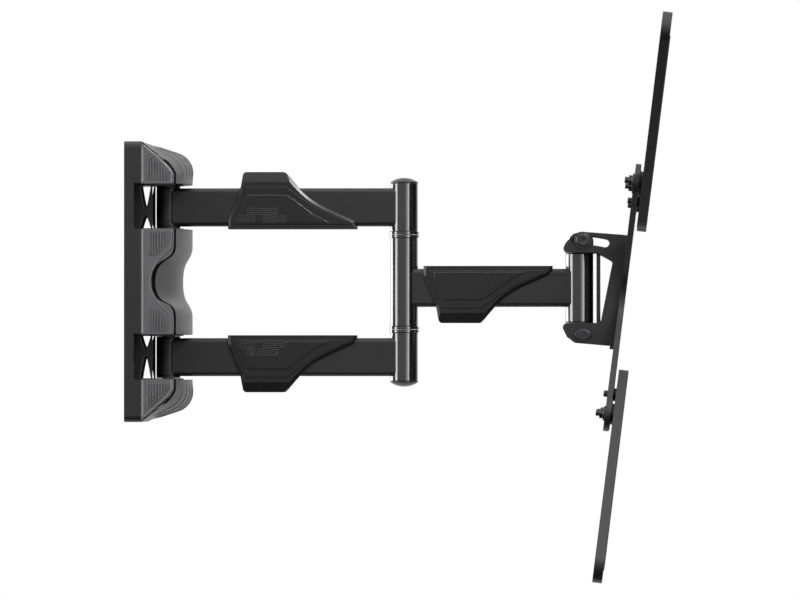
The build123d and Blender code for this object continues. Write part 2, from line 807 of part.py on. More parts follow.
# Tilt bracket: two jaws with arc slots, folded from a web that is riveted to the screen plate
slot_first = 90 - (tilt_up - rest_tilt) - slot_spare
slot_sweep = tilt_up + tilt_down + 2 * slot_spare
slot_width = lock_diameter + 2 * lock_slot_clearance
slot_path = CenterArc((0, 0), lock_reach, slot_first, slot_sweep)
with BuildPart() as tilt_bracket:
    for offset in (-side_plate_inner, side_plate_outer):
        with BuildSketch(leaning_side(offset)):
            with BuildLine():
                Polyline(
                    above_slot(upper_jaw_tip),
                    above_slot(upper_jaw_temple),
                    above_slot(upper_jaw_brow),
                    above_slot(upper_jaw_crest),
                    above_slot((bracket_face, bracket_top)),
                    (bracket_face, -lower_jaw_root),
                    lower_jaw_heel,
                    lower_jaw_chin,
                    lower_jaw_cheek,
                    lower_jaw_tip,
                    jaw_window_bottom,
                    above_slot(jaw_window_top),
                    above_slot(upper_jaw_mouth),
                    close=True,
                )
            make_face()
            fillet(vertices().sort_by(Axis.X)[:-2], bracket_corner)
            SlotArc(slot_path, slot_width, mode=Mode.SUBTRACT)
            Circle(tilt_pin_diameter / 2 + running_clearance, mode=Mode.SUBTRACT)
        extrude(amount=bracket_sheet)
    with BuildSketch(leaning_face(bracket_face)):
        with Locations((0, (lock_reach + bracket_top - bracket_bottom) / 2)):
            Rectangle(2 * side_plate_outer, lock_reach + bracket_top + bracket_bottom)
        with Locations((0, screen_centre)):
            with GridLocations(rivet_spread_y, rivet_spread_z, 2, 2):
                Circle(rivet_diameter / 2 + hole_clearance, mode=Mode.SUBTRACT)
    extrude(amount=bracket_sheet)
save(tilt_bracket, "tilt_bracket")

with BuildPart() as bracket_rivets:
    for x in (-rivet_spread_y / 2, rivet_spread_y / 2):
        for y in (-rivet_spread_z / 2, rivet_spread_z / 2):
            spot = (x, screen_centre + y)
            disc(leaning_face(bracket_face, spot), rivet_diameter / 2, bracket_sheet + screen_sheet)
            disc(leaning_face(bracket_face, spot), rivet_head_diameter / 2, -rivet_head_height)
            disc(leaning_face(screen_front, spot), rivet_tail_diameter / 2, rivet_tail_height)
    fillet(faces().group_by(forward_axis)[0].edges(), rivet_head_round)
save(bracket_rivets, "bracket_rivets")


def cross(reach, inset):
    """The screen plate's X outline, drawn in from its edge by an inset."""
    with BuildSketch(leaning_face(reach)) as outline:
        with Locations((0, screen_centre)):
            for turn in (45, -45):
                SlotCenterToCenter(2 * limb_reach, limb_width - 2 * inset, rotation=turn)
        corners = outline.vertices().sort_by_distance((0, screen_centre, 0))[:4]
        fillet(corners, limb_inner_fillet + inset)
    return outline.sketch


# Screen plate: an X shaped pressing with a lip all round
with BuildPart() as screen_plate:
    extrude(cross(screen_back, 0), amount=screen_lip)
    extrude(cross(screen_front, screen_sheet), amount=screen_lip, mode=Mode.SUBTRACT)
    with BuildSketch(leaning_face(screen_back)):
        with Locations((0, screen_centre)):
            for pitch in (vesa_small, vesa_medium):
                with GridLocations(pitch, pitch, 2, 2):
                    Circle(vesa_hole_diameter / 2)
            with GridLocations(rivet_spread_y, rivet_spread_z, 2, 2):
                Circle(rivet_diameter / 2 + hole_clearance)
        with Locations(*diagonal(limb_reach)):
            Circle(extension_bolt_diameter / 2 + hole_clearance)
        with Locations(*diagonal(locating_reach)):
            Circle(locating_diameter / 2 + hole_clearance)
    extrude(amount=screen_sheet, mode=Mode.SUBTRACT)
save(screen_plate, "screen_plate")


# Extension arms: channels that carry the screen's bolts on the diagonals beyond the plate
for name, across, up in (
    ("upper_left_extension", -1, 1),
    ("upper_right_extension", 1, 1),
    ("lower_left_extension", -1, -1),
    ("lower_right_extension", 1, -1),
):
    turn = 45 * across * up
    middle = along((extension_inner + extension_outer) / 2, across, up)
    span = extension_outer - extension_inner
    with BuildPart() as extension:
        with BuildSketch(leaning_face(extension_back)):
            with Locations(middle):
                SlotCenterToCenter(span, extension_width, rotation=turn)
        extrude(amount=extension_depth)
        with BuildSketch(leaning_face(extension_front)):
            with Locations(middle):
                SlotCenterToCenter(span, extension_width - 2 * extension_sheet, rotation=turn)
        extrude(amount=extension_depth, mode=Mode.SUBTRACT)
        with BuildSketch(leaning_face(extension_back)):
            with Locations(along(limb_reach, across, up)):
                Circle(extension_bolt_diameter / 2 + hole_clearance)
            with Locations(along(locating_reach, across, up)):
                Circle(locating_diameter / 2 + hole_clearance)
            with Locations(along((extension_slot_start + extension_slot_end) / 2, across, up)):
                SlotCenterToCenter(
                    extension_slot_end - extension_slot_start, vesa_large_hole_diameter, rotation=turn
                )
            with Locations(along(vesa_large / sqrt(2), across, up)):
                Circle(vesa_large_hole_diameter / 2)
        extrude(amount=extension_sheet, mode=Mode.SUBTRACT)
    save(extension, name)

# Fasteners that hold the extension arms to the screen plate
with BuildPart() as extension_spacers:
    for reach, outer, bolt_diameter in (
        (limb_reach, spacer_diameter, extension_bolt_diameter),
        (locating_reach, locating_spacer_diameter, locating_diameter),
    ):
        for spot in diagonal(reach):
            bore = bolt_diameter / 2 + hole_clearance
            ring(leaning_face(screen_front, spot), outer / 2, bore, spacer_height)
save(extension_spacers, "extension_spacers")

nut_stack = extension_nut_flange_height + extension_nut_height
with BuildPart() as extension_bolts:
    for spot in diagonal(limb_reach):
        tail = extension_front - screen_back + nut_stack + extension_bolt_tail
        disc(leaning_face(extension_front, spot), extension_bolt_diameter / 2, -tail)
        disc(leaning_face(extension_front, spot), extension_head_diameter / 2, extension_head_height)
    fillet(faces().group_by(forward_axis)[-1].edges(), extension_head_round)
save(extension_bolts, "extension_bolts")

with BuildPart() as extension_nuts:
    for spot in diagonal(limb_reach):
        seat = leaning_face(screen_back, spot)
        bore = extension_bolt_diameter / 2 + running_clearance
        ring(seat, extension_nut_flange / 2, bore, -extension_nut_flange_height)
        hex_nut(seat, extension_nut_flats, bore, -nut_stack)
save(extension_nuts, "extension_nuts")

with BuildPart() as locating_screws:
    for spot in diagonal(locating_reach):
        seat = leaning_face(screen_back, spot)
        disc(seat, locating_diameter / 2, extension_front - screen_back + locating_tail)
        disc(seat, locating_head_diameter / 2, -locating_head_height)
    fillet(faces().group_by(forward_axis)[0].edges(), locating_head_round)
save(locating_screws, "locating_screws")
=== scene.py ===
"""Looks of the full motion wall mount, in the order in which it is put together, in metres."""

from math import cos, pi, sin

import bmesh
import bpy
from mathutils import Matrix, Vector
from mathutils.bvhtree import BVHTree


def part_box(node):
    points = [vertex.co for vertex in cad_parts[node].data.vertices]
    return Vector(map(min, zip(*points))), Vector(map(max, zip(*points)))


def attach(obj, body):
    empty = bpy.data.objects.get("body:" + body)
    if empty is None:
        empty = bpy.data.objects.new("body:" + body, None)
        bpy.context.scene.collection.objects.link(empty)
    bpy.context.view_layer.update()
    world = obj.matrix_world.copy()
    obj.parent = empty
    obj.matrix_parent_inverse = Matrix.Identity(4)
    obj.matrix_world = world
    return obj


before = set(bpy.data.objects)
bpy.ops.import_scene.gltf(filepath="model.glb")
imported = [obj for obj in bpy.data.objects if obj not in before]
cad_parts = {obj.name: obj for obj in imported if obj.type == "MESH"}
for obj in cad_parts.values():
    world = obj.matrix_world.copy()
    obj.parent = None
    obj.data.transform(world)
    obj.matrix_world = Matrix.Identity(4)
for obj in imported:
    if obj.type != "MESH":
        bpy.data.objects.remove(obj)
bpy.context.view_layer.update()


# Wall plate: a pan pressed from 2.5 mm steel sheet, 98 by 220 mm, with its flanges turned away from the wall.
# It is powder coated satin black after pressing, and lag screws hold it through its slots. The two pivot
# brackets welded on it have the same coat, whose colour is painted paler along its edges as a painted edge
# highlight.
class Wire:
    """One socket of a finish. Sums written on it add the nodes that work them out."""

    def __init__(self, tree, socket=None):
        self.tree = tree
        self.socket = socket

    def node(self, kind, settings, sockets, out=0):
        """Add a node of any kind: its settings first, then the value or the wire of each socket."""
        made = self.tree.nodes.new(kind)
        for setting, value in settings.items():
            setattr(made, setting, value)
        for name, value in sockets.items():
            if isinstance(value, Wire):
                self.tree.links.new(value.socket, made.inputs[name])
            else:
                made.inputs[name].default_value = value
        return Wire(self.tree, made.outputs[out])

    def feed(self, socket):
        """Lead this wire into a shader's socket."""
        self.tree.links.new(self.socket, socket)

    def reckon(self, operation, first, second):
        """A Math node of two values or wires."""
        return self.node("ShaderNodeMath", {"operation": operation}, {0: first, 1: second})

    def __add__(self, other):
        return self.reckon("ADD", self, other)

    def __radd__(self, other):
        return self.reckon("ADD", other, self)

    def __sub__(self, other):
        return self.reckon("SUBTRACT", self, other)

    def __rsub__(self, other):
        return self.reckon("SUBTRACT", other, self)

    def __mul__(self, other):
        return self.reckon("MULTIPLY", self, other)

    def __rmul__(self, other):
        return self.reckon("MULTIPLY", other, self)

    def spread(self, low, high):
        """This value spread from 0 at low to 1 at high, and held there."""
        ends = {"Value": self, "From Min": low, "From Max": high}
        return self.node("ShaderNodeMapRange", {"clamp": True}, ends)

    def between(self, dark, light):
        """A colour between two, as far along as this value says."""
        return self.node("ShaderNodeMix", {"data_type": "RGBA"}, {"Factor": self, 6: dark, 7: light}, 2)


def new_finish(name):
    """A material, its shader, and a wire that carries the place on the piece in metres."""
    finish = bpy.data.materials.new(name)
    finish.use_nodes = True
    tree = finish.node_tree
    place = Wire(tree).node("ShaderNodeTexCoord", {}, {}, "Object")
    return finish, tree.nodes["Principled BSDF"], place


cool_tint = 1.03


def grey(level):
    """A neutral colour, a touch cool as black coatings are."""
    return (level, level, level * cool_tint, 1)


def mottle(place, grain, detail=2.0):
    """Cloudy noise whose lumps measure about one grain."""
    return place.node("ShaderNodeTexNoise", {}, {"Vector": place, "Scale": 1 / grain, "Detail": detail})


bevel_samples = 6
# Where the painted edge highlight starts and where it is full, as the surface turns at an edge.
highlight_start = 0.02
highlight_full = 0.25


def soft_edges(place, radius):
    """The surface's direction with its edges eased, and how far each place was eased."""
    eased = place.node("ShaderNodeBevel", {"samples": bevel_samples}, {"Radius": radius})
    straight = place.node("ShaderNodeNewGeometry", {}, {}, "Normal")
    agree = place.node("ShaderNodeVectorMath", {"operation": "DOT_PRODUCT"}, {0: eased, 1: straight}, "Value")
    return eased, (1 - agree).spread(highlight_start, highlight_full)


grain_strength = 0.6


def press_grain(height, depth, eased, shader):
    """Press a height into the shader's surface, on top of its eased edges."""
    sockets = {"Strength": grain_strength, "Distance": depth, "Height": height, "Normal": eased}
    height.node("ShaderNodeBump", {}, sockets).feed(shader.inputs["Normal"])


fleck_share = 0.5
fleck_detail = 1.0


def edge_highlit_finish(
    name, dark, light, edge_highlight, lump, edge, rough, patchy, grain, depth, speckle=0, detail=2.0, fleck=0, fixed=()
):
    """A finish that clouds between two tones, is painted paler along its edges as a painted edge highlight,
    and has a pressed grain.
    """
    finish, shader, place = new_finish(name)
    for socket, value in dict(fixed).items():
        shader.inputs[socket].default_value = value
    cloud = mottle(place, lump)
    height = mottle(place, grain, detail)
    eased, highlit_edges = soft_edges(place, edge)
    # The colour turns paler along eased edges: a painted edge highlight, not wear.
    highlit_edges.between(cloud.between(dark, light), edge_highlight).feed(shader.inputs["Base Color"])
    roughness = rough + patchy * cloud
    if speckle:
        roughness = roughness + speckle * height
    roughness.feed(shader.inputs["Roughness"])
    if fleck:
        height = height + fleck_share * mottle(place, fleck, fleck_detail)
    press_grain(height, depth, eased, shader)
    return finish


def dress(finish, *nodes):
    """Give CAD nodes a finish."""
    for node in nodes:
        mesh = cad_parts[node].data
        mesh.materials.clear()
        mesh.materials.append(finish)


satin_coat = edge_highlit_finish(
    "satin_powder_coat",
    dark=grey(0.015),
    light=grey(0.021),
    edge_highlight=grey(0.045),
    lump=0.045,
    edge=0.0007,
    rough=0.34,
    patchy=0.10,
    grain=0.0016,
    speckle=0.06,
    fleck=0.0004,
    depth=0.00003,
)
dress(satin_coat, "wall_plate", "upper_pivot_bracket", "lower_pivot_bracket")

# Wall pivots: zinc plated M10 bolts with washers and lock nuts, down through the brackets' ears.
# They are cold headed and plated bright, with a fine grain from the plating drum.
bright_zinc = edge_highlit_finish(
    "bright_zinc_plate",
    dark=(0.50, 0.51, 0.53, 1),
    light=(0.66, 0.66, 0.66, 1),
    edge_highlight=(0.75, 0.75, 0.74, 1),
    lump=0.006,
    edge=0.0005,
    rough=0.24,
    patchy=0.14,
    grain=0.0003,
    detail=1.0,
    speckle=0.05,
    depth=0.00003,
    fixed={"Metallic": 1.0},
)
dress(bright_zinc, "wall_pivot_bolts", "wall_pivot_nuts", "wall_pivot_washers")

# Wall covers: three charcoal mouldings, 2 mm thick, with a fine spark grain, that clip on the plate's flanges
# and hide its screws. A groove parts each cheek from the crowned front. The groove, the narrow strip of front
# along each cheek's edge and thin strips along it on the top and bottom covers are painted near black as
# painted shade.
# The cheeks have upright ribs and small studs inside a smooth bead, and low ribs run over the crowns of the
# top and bottom covers.
covers = ("top_cover", "middle_cover", "bottom_cover")
grained_cover = edge_highlit_finish(
    "grained_cover_plastic",
    dark=grey(0.145),
    light=grey(0.17),
    edge_highlight=grey(0.24),
    lump=0.03,
    edge=0.0009,
    rough=0.36,
    patchy=0.08,
    grain=0.0007,
    speckle=0.08,
    depth=0.00006,
)
dress(grained_cover, *covers)


def clouded_finish(name, dark, light, lump, rough, patchy, fixed=()):
    """A plain finish that clouds between two tones."""
    finish, shader, place = new_finish(name)
    for socket, value in dict(fixed).items():
        shader.inputs[socket].default_value = value
    cloud = mottle(place, lump)
    cloud.between(dark, light).feed(shader.inputs["Base Color"])
    (rough + patchy * cloud).feed(shader.inputs["Roughness"])
    return finish


# Near black with little gloss: painted shade for the covers' grooves, their edge strips and the thin strips
# along them.
groove_shade = clouded_finish(
    "groove_shade",
    dark=grey(0.002),
    light=grey(0.006),
    lump=0.004,
    rough=0.80,
    patchy=0.15,
    fixed={"Specular IOR Level": 0.1},
)
groove_sides = (0.04555, 0.04805)
cheek_inside = 0.0470
lip_side = 0.04795
lip_depth = 0.0005
hairline = 0.00005
# The groove's faces and the narrow strip at each cheek's edge take the near black finish as painted shade.
for node in covers:
    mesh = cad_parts[node].data
    mesh.materials.append(groove_shade)
    for face in mesh.polygons:
        across = [abs(mesh.vertices[corner].co.y) for corner in face.vertices]
        in_groove = groove_sides[0] < min(across) and max(across) < groove_sides[1]
        on_wall = max(abs(y - cheek_inside) for y in across) <= hairline
        on_lip = min(across) > lip_side and max(across) - min(across) > lip_depth
        if on_lip or (in_groove and not on_wall):
            face.material_index = 1


def add_piece(name, mesh, finish, body):
    """Turn a finished bmesh into a piece that rides on a body and takes a finish."""
    bmesh.ops.recalc_face_normals(mesh, faces=mesh.faces)
    data = bpy.data.meshes.new(name)
    mesh.to_mesh(data)
    mesh.free()
    data.materials.append(finish)
    piece = bpy.data.objects.new(name, data)
    bpy.context.scene.collection.objects.link(piece)
    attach(piece, body)


sharpest_corner = 0.35


def plateau(mesh, outline, back, front, ease):
    """A raised outline of (x, z) with a flat top, drawn in by an ease from its back to its front."""
    count = len(outline)
    turn = sum(a[0] * b[1] - b[0] * a[1] for a, b in zip(outline, outline[1:] + outline[:1]))
    inward = 1 if turn > 0 else -1
    low, high = [], []
    for here in range(count):
        before, spot, after = (Vector(outline[(here + step) % count]) for step in (-1, 0, 1))
        first = (spot - before).normalized()
        second = (after - spot).normalized()
        bisector = Vector((-(first.y + second.y), first.x + second.x)).normalized() * inward
        reach = ease / max(sharpest_corner, abs(bisector.dot(Vector((-second.y, second.x)))))
        inner = spot + bisector * reach
        low.append(mesh.verts.new((spot.x, back, spot.y)))
        high.append(mesh.verts.new((inner.x, front, inner.y)))
    for here in range(count):
        after = (here + 1) % count
        mesh.faces.new((low[here], low[after], high[after], high[here]))
    mesh.faces.new(high)
    mesh.faces.new(list(reversed(low)))


stud_corners = 6
stud_shares = (1.0, 0.72)


def stud(mesh, x, z, back, side, radius, height):
    """A small domed stud that stands on a cheek."""
    rings = []
    for share in stud_shares:
        y = back + side * height * (1 - share * share) ** 0.5
        ring = []
        for corner in range(stud_corners):
            angle = 2 * pi * corner / stud_corners
            reach = radius * share
            ring.append(mesh.verts.new((x + reach * cos(angle), y, z + reach * sin(angle))))
        rings.append(ring)
    foot, brow = rings
    tip = mesh.verts.new((x, back + side * height, z))
    for here in range(stud_corners):
        after = (here + 1) % stud_corners
        mesh.faces.new((foot[here], foot[after], brow[after], brow[here]))
        mesh.faces.new((brow[here], brow[after], tip))
    mesh.faces.new(list(reversed(foot)))


cheek_face = 0.0490
sunk = 0.0002
rib_rise = 0.0008
rib_width = 0.0011
rib_pitch = 0.0022
rib_ease = 0.00025


def cheek_ribs(mesh, side, spans, up):
    """Upright ribs on one cheek, each a span of (x, low, high); up turns them over for the lower cover."""
    for x, low, high in spans:
        left, right = x - rib_width / 2, x + rib_width / 2
        foot, head = sorted((up * low, up * high))
        outline = [(left, foot), (right, foot), (right, head), (left, head)]
        plateau(mesh, outline, side * (cheek_face - sunk), side * (cheek_face + rib_rise), rib_ease)


stud_radius = 0.00045
stud_pitch = 0.0013
stud_gaps = (1, 2, 3)
stud_top_margin = 0.0016
stud_foot_margin = 0.001
stud_panel_height = 0.009


def cheek_studs(mesh, side, spans, up):
    """Studs between some of the ribs, near their tops."""
    for gap in stud_gaps:
        x, low, high = spans[gap]
        middle = (x + spans[gap + 1][0]) / 2
        z = high - stud_top_margin
        while z > max(low + stud_foot_margin, high - stud_panel_height):
            stud(mesh, middle, up * z, side * (cheek_face - sunk), side, stud_radius, rib_rise)
            z -= stud_pitch


line_sunk = 0.00005


def cheek_line(mesh, side, path, near, far, rise, ease):
    """A thin raised line on one cheek, between two distances to the left of a path of (x, z)."""
    spots = [Vector(spot) for spot in path]
    edges = ([], [])
    for here, spot in enumerate(spots):
        ahead = spots[min(here + 1, len(spots) - 1)] - spots[max(here - 1, 0)]
        inward = Vector((-ahead.y, ahead.x)).normalized()
        edges[0].append(tuple(spot + inward * near))
        edges[1].append(tuple(spot + inward * far))
    outline = edges[0] + edges[1][::-1]
    plateau(mesh, outline, side * (cheek_face - line_sunk), side * (cheek_face + rise), ease)


def turned(path, up):
    """A path round an upper cheek, turned over for a lower one."""
    return [(x, up * z) for x, z in path][::up]


def height_at(line, x):
    """Read a height off a line of points at x."""
    for (x0, z0), (x1, z1) in zip(line, line[1:]):
        if x <= x1:
            return z0 + (z1 - z0) * (x - x0) / (x1 - x0)
    return line[-1][1]


cheek_front = 0.0390
cheek_back = 0.0137
end_line = [(0.0135, 0.110), (0.031, 0.0948), (0.0345, 0.0912), (0.0375, 0.0872), (cheek_front, 0.0842)]
end_rib_count = 8
end_rib_start = 0.0185
end_rib_lead = 0.0015
end_rib_foot = 0.0795
end_rib_margin = 0.0042
end_spans = []
for step in range(end_rib_count):
    x = end_rib_start + step * rib_pitch
    end_spans.append((x, end_rib_foot, height_at(end_line, x + end_rib_lead) - end_rib_margin))

dip_line = [(0.0215, 0.0), (0.0229, 0.007), (0.0266, 0.014), (0.0334, 0.021), (0.0380, 0.0255)]
dip_line.append((cheek_front, 0.028))
dip_rib_count = 7
dip_rib_start = 0.0200
dip_rib_lead = 0.0040
dip_rib_margin = 0.0045
dip_rib_lowest = 0.0205
dip_rib_top = 0.0392
dip_last_x = 0.0389
dip_spans = []
for step in range(dip_rib_count):
    x = dip_rib_start + step * rib_pitch
    foot = height_at(dip_line, min(x + dip_rib_lead, dip_last_x)) + dip_rib_margin
    dip_spans.append((x, max(foot, dip_rib_lowest), dip_rib_top))

end_foot = 0.0774
end_back_top = 0.1055
shade_strip_tip = 0.0142
bead_tip = 0.0160
shoulder = 3
end_edge = [(cheek_front, end_foot)] + end_line[:0:-1]
end_shade_strip = end_edge[shoulder:] + [(shade_strip_tip, height_at(end_line, shade_strip_tip))]
end_bead = end_edge + [(bead_tip, height_at(end_line, bead_tip))]
end_back = [(cheek_back, end_back_top), (cheek_back, end_foot)]
dip_end = 0.0405
half_dip = dip_line + [(cheek_front, dip_end)]
dip_bead = turned(half_dip[1:], -1) + half_dip
dip_back = [(cheek_back, dip_end), (cheek_back, -dip_end)]
shade_strip_sizes = {"near": 0.00005, "far": 0.00070, "rise": 0.00010, "ease": 0.00010}
bead_sizes = {"near": 0.00050, "far": 0.00235, "rise": 0.00045, "ease": 0.00087}
# The beads are the same plastic as the cover, made smoother. Their lighter grey is a painted highlight along
# the rims.
polished_rim_with_painted_highlight = clouded_finish(
    "polished_cover_rim_painted_highlight", dark=grey(0.17), light=grey(0.21), lump=0.01, rough=0.30, patchy=0.04
)
for node, spans, shade_strips, plain_beads, smooth_beads, ups in (
    ("top_cover", end_spans, (end_shade_strip,), (), (end_bead, end_back), (1,)),
    ("middle_cover", dip_spans, (), (dip_bead,), (dip_back,), (1, -1)),
    ("bottom_cover", end_spans, (end_shade_strip,), (), (end_bead, end_back), (-1,)),
):
    ribs = bmesh.new()
    rim = bmesh.new()
    shade_strip = bmesh.new()
    for side in (-1, 1):
        for path in shade_strips:
            cheek_line(shade_strip, side, turned(path, ups[0]), **shade_strip_sizes)
        for path in plain_beads:
            cheek_line(ribs, side, turned(path, ups[0]), **bead_sizes)
        for path in smooth_beads:
            cheek_line(rim, side, turned(path, ups[0]), **bead_sizes)
        for up in ups:
            cheek_ribs(ribs, side, spans, up)
            cheek_studs(ribs, side, spans, up)
    add_piece(f"{node}_ribs", ribs, grained_cover, "wall_bracket")
    add_piece(f"{node}_rim", rim, polished_rim_with_painted_highlight, "wall_bracket")
    # The thin strips carry painted shade along the groove's edge.
    if shade_strips:
        add_piece(f"{node}_seam", shade_strip, groove_shade, "wall_bracket")

crown_hub = (0.0135, 0.0785)
crown_reach = 0.1
crown_start = 0.01
crown_end = 1.30
crown_steps = 32
crown_taper = 4
crown_width = 0.0022
crown_rise = 0.0005
crown_ease = 0.0003
crown_places = (0.006, 0.015, 0.024, 0.033)


def crown_rib(mesh, skin, y, up):
    """A low rib that runs over a cover's crown at one y, from its foot over its shoulder and up its slope."""
    rows = []
    for step in range(crown_steps + 1):
        angle = crown_start + (crown_end - crown_start) * step / crown_steps
        outward = Vector((cos(angle), 0, up * sin(angle)))
        top = crown_rise * min(1, step / crown_taper, (crown_steps - step) / crown_taper)
        row = []
        for edge, ease, rise in ((-1, 0, -sunk), (-1, crown_ease, top), (1, crown_ease, top), (1, 0, -sunk)):
            hub = Vector((crown_hub[0], y + edge * (crown_width / 2 - ease), up * crown_hub[1]))
            spot, normal, _, _ = skin.ray_cast(hub + crown_reach * outward, -outward)
            row.append(mesh.verts.new(spot + normal * rise))
        rows.append(row)
    for first, second in zip(rows, rows[1:]):
        for here in range(len(first)):
            after = (here + 1) % len(first)
            mesh.faces.new((first[here], first[after], second[after], second[here]))
    mesh.faces.new(rows[0])
    mesh.faces.new(rows[-1][::-1])


for node, up in (("top_cover", 1), ("bottom_cover", -1)):
    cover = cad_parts[node].data
    skin = BVHTree.FromPolygons([v.co for v in cover.vertices], [list(f.vertices) for f in cover.polygons])
    mesh = bmesh.new()
    for side in (-1, 1):
        for y in crown_places:
            crown_rib(mesh, skin, side * y, up)
    add_piece(f"{node}_crown_ribs", mesh, grained_cover, "wall_bracket")

# Rear arms: two lengths of 30 by 18 mm rectangular steel tube, 2 mm thick, coped and welded to round tubes.
# The welded frame is powder coated like the wall plate, and nylon bushes are pressed into its knuckles.
dress(satin_coat, "upper_rear_arm", "lower_rear_arm", "upper_wall_knuckle", "lower_wall_knuckle")

dark_nylon = edge_highlit_finish(
    "dark_nylon",
    dark=grey(0.016),
    light=grey(0.024),
    edge_highlight=grey(0.05),
    lump=0.008,
    edge=0.0004,
    rough=0.38,
    patchy=0.12,
    grain=0.0006,
    depth=0.00004,
)
dress(dark_nylon, "upper_wall_bushes", "lower_wall_bushes")

# Column: three round steel tubes, 22 mm across, that turn on one long bolt between flanged bushes.
# They have a smoother, glossier black coat than the arms, and moulded domed caps close the two ends.
gloss_coat = edge_highlit_finish(
    "gloss_black_coat",
    dark=grey(0.012),
    light=grey(0.017),
    edge_highlight=grey(0.04),
    lump=0.02,
    edge=0.0006,
    rough=0.13,
    patchy=0.05,
    grain=0.006,
    depth=0.000006,
    fixed={"Specular IOR Level": 1.0, "Coat Weight": 1.0, "Coat Roughness": 0.08},
)
dress(gloss_coat, "upper_column_tube", "middle_column_tube", "lower_column_tube")
dress(bright_zinc, "column_bolt", "column_nut", "column_washers")
dress(gloss_coat, "upper_column_bushes", "middle_column_bushes", "lower_column_bushes")

cap_plastic = edge_highlit_finish(
    "smooth_cap_plastic",
    dark=grey(0.012),
    light=grey(0.018),
    edge_highlight=grey(0.05),
    lump=0.01,
    edge=0.0006,
    rough=0.22,
    patchy=0.10,
    grain=0.0008,
    depth=0.00003,
)
dress(cap_plastic, "column_top_cap", "column_bottom_cap")

# Front arm: one more length of the rectangular tube, welded between the middle column tube and the head
# knuckle, which has the column's glossy coat.
dress(satin_coat, "front_arm")
dress(gloss_coat, "head_knuckle")
dress(dark_nylon, "head_bushes")

# Cable covers: three like mouldings in black plastic, 101.5 mm long, that snap over the arms and leave a duct
# for the cables. Each cheek has two low terraces that follow its outline, and the rear ones have patches of
# small grip studs.
hood_plastic = edge_highlit_finish(
    "cable_cover_plastic",
    dark=grey(0.013),
    light=grey(0.018),
    edge_highlight=grey(0.04),
    lump=0.025,
    edge=0.0006,
    rough=0.22,
    patchy=0.06,
    grain=0.0006,
    speckle=0.05,
    depth=0.00004,
)
dress(hood_plastic, "upper_cable_cover", "lower_cable_cover", "front_cable_cover")

hood_cheek = 0.0112
foot_to_arm = 0.0172
terrace_rise = 0.00045
terrace_ease = 0.0005
outer_terrace = [
    (0.0045, -0.0141), (0.0050, -0.0085), (0.0133, 0.0130), (0.0142, 0.0165), (0.0451, 0.0165),
    (0.0480, 0.0150), (0.0532, 0.0113), (0.0585, 0.0073), (0.0642, 0.0034), (0.0715, -0.0008),
    (0.0792, -0.0046), (0.0870, -0.0078), (0.0940, -0.0105), (0.0955, -0.0141),
]
inner_terrace = [
    (0.0080, -0.0126), (0.0086, -0.0075), (0.0153, 0.0098), (0.0444, 0.0098), (0.0475, 0.0090),
    (0.0520, 0.0062), (0.0580, 0.0015), (0.0670, -0.0052), (0.0765, -0.0102), (0.0800, -0.0126),
]
grip_patches = (
    ((0.0153, 0.0404), (-0.0060, -0.0004)),
    ((0.0098, 0.0216), (-0.0120, -0.0066)),
    ((0.0279, 0.0467), (-0.0120, -0.0066)),
)
grip_radius = 0.00060
grip_pitch = 0.00157
grip_rise = 0.00030
grip_sunk = 0.00005
for node, body, up, patches in (
    ("upper_cable_cover", "rear_arms", 1, grip_patches),
    ("lower_cable_cover", "rear_arms", -1, grip_patches),
    ("front_cable_cover", "fore_arm", -1, ()),
):
    low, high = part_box(node)
    start = low.x
    arm_line = low.z + foot_to_arm if up > 0 else high.z - foot_to_arm
    mesh = bmesh.new()
    for side in (-1, 1):
        for level, terrace in enumerate((outer_terrace, inner_terrace), 1):
            outline = [(start + x, arm_line + up * z) for x, z in terrace]
            front = side * (hood_cheek + level * terrace_rise)
            plateau(mesh, outline, side * (hood_cheek - sunk), front, terrace_ease)
        stand = front - side * grip_sunk
        for (first, last), (bottom, top) in patches:
            for column in range(int((last - first) / grip_pitch) + 1):
                x = start + first + column * grip_pitch
                for row in range(int((top - bottom) / grip_pitch) + 1):
                    z = arm_line + up * (bottom + row * grip_pitch)
                    stud(mesh, x, z, stand, side, grip_radius, grip_rise)
    add_piece(f"{node}_terraces", mesh, hood_plastic, body)

# Swivel yoke: a channel folded from 3 mm sheet round the head knuckle, held by a zinc plated bolt.
# The tilt bracket's jaws clamp on its cheeks with black steel screws and nylon friction washers.
dress(satin_coat, "tilt_yoke", "tilt_bracket")
dress(bright_zinc, "swivel_bolt", "swivel_nut", "swivel_washers")

black_steel = edge_highlit_finish(
    "black_oxide_steel",
    dark=grey(0.050),
    light=grey(0.085),
    edge_highlight=grey(0.30),
    lump=0.004,
    edge=0.0005,
    rough=0.28,
    patchy=0.14,
    grain=0.0004,
    depth=0.00003,
    fixed={"Metallic": 0.85},
)
dress(black_steel, "tilt_pivot_bolts", "tilt_pivot_nuts", "tilt_lock_bolts", "tilt_lock_nuts")
dress(black_steel, "bracket_rivets")
dress(dark_nylon, "tilt_friction_washers")

# Screen plate: an X pressed from 2.5 mm sheet with a lip all round, riveted to the tilt bracket. Four channel
# section extension arms are bolted to its limbs on nylon spacers and carry the larger screen hole patterns.
dress(satin_coat, "screen_plate", "upper_left_extension", "upper_right_extension")
dress(satin_coat, "lower_left_extension", "lower_right_extension")
dress(black_steel, "extension_bolts", "extension_nuts", "locating_screws")
dress(dark_nylon, "extension_spacers")

# Studio: a pale floor and a white surround, a broad softbox at the left, one overhead and a small one above
# the right front. Three dark flags and a graduated scrim only show in the gloss, where they shape the
# highlights on the column.
scene = bpy.context.scene
scene.view_settings.view_transform = "Standard"
black = (0, 0, 0, 1)
white = (1, 1, 1, 1)


